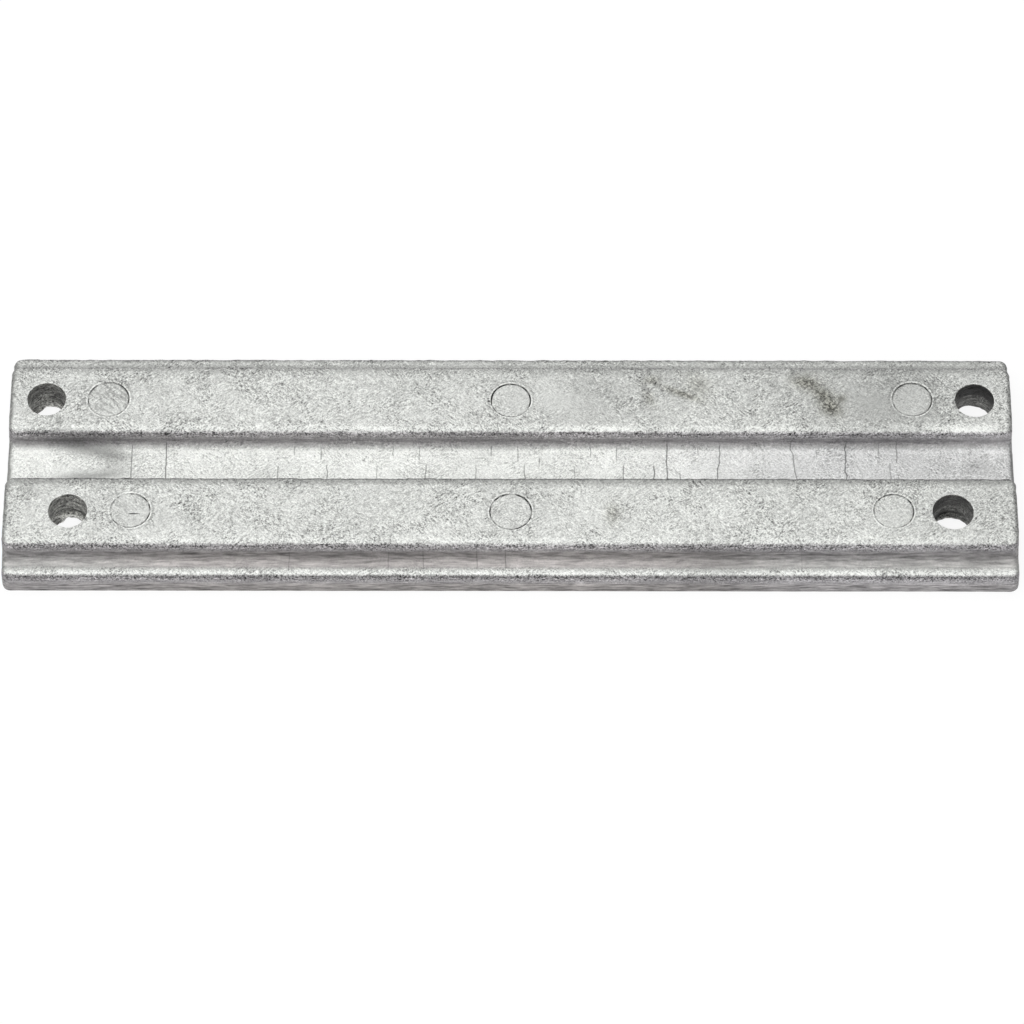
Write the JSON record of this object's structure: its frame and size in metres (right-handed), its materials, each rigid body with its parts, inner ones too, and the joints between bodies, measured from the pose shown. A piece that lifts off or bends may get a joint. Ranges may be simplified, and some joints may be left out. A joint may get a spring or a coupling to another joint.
{
  "type": "sacrificial anode",
  "caption": "Cast bar anode with two raised ridges, a groove between them, a ledge down each long side and bolt holes through the ridges near both ends.",
  "frame": {"origin": "middle of the flat underside", "axes": "+X along the bar, +Y across it towards the ridge with the wider hole spacing, +Z out of the underside through the ridges"},
  "size_m": [0.21, 0.0544, 0.0098],
  "materials": {
    "cast_aluminium": "rough as-cast surface, light grey, with faint cold-flow lines and dull patches"
  },
  "bodies": {
    "root": {"anode_casting": "cast_aluminium"}
  },
  "joints": []
}
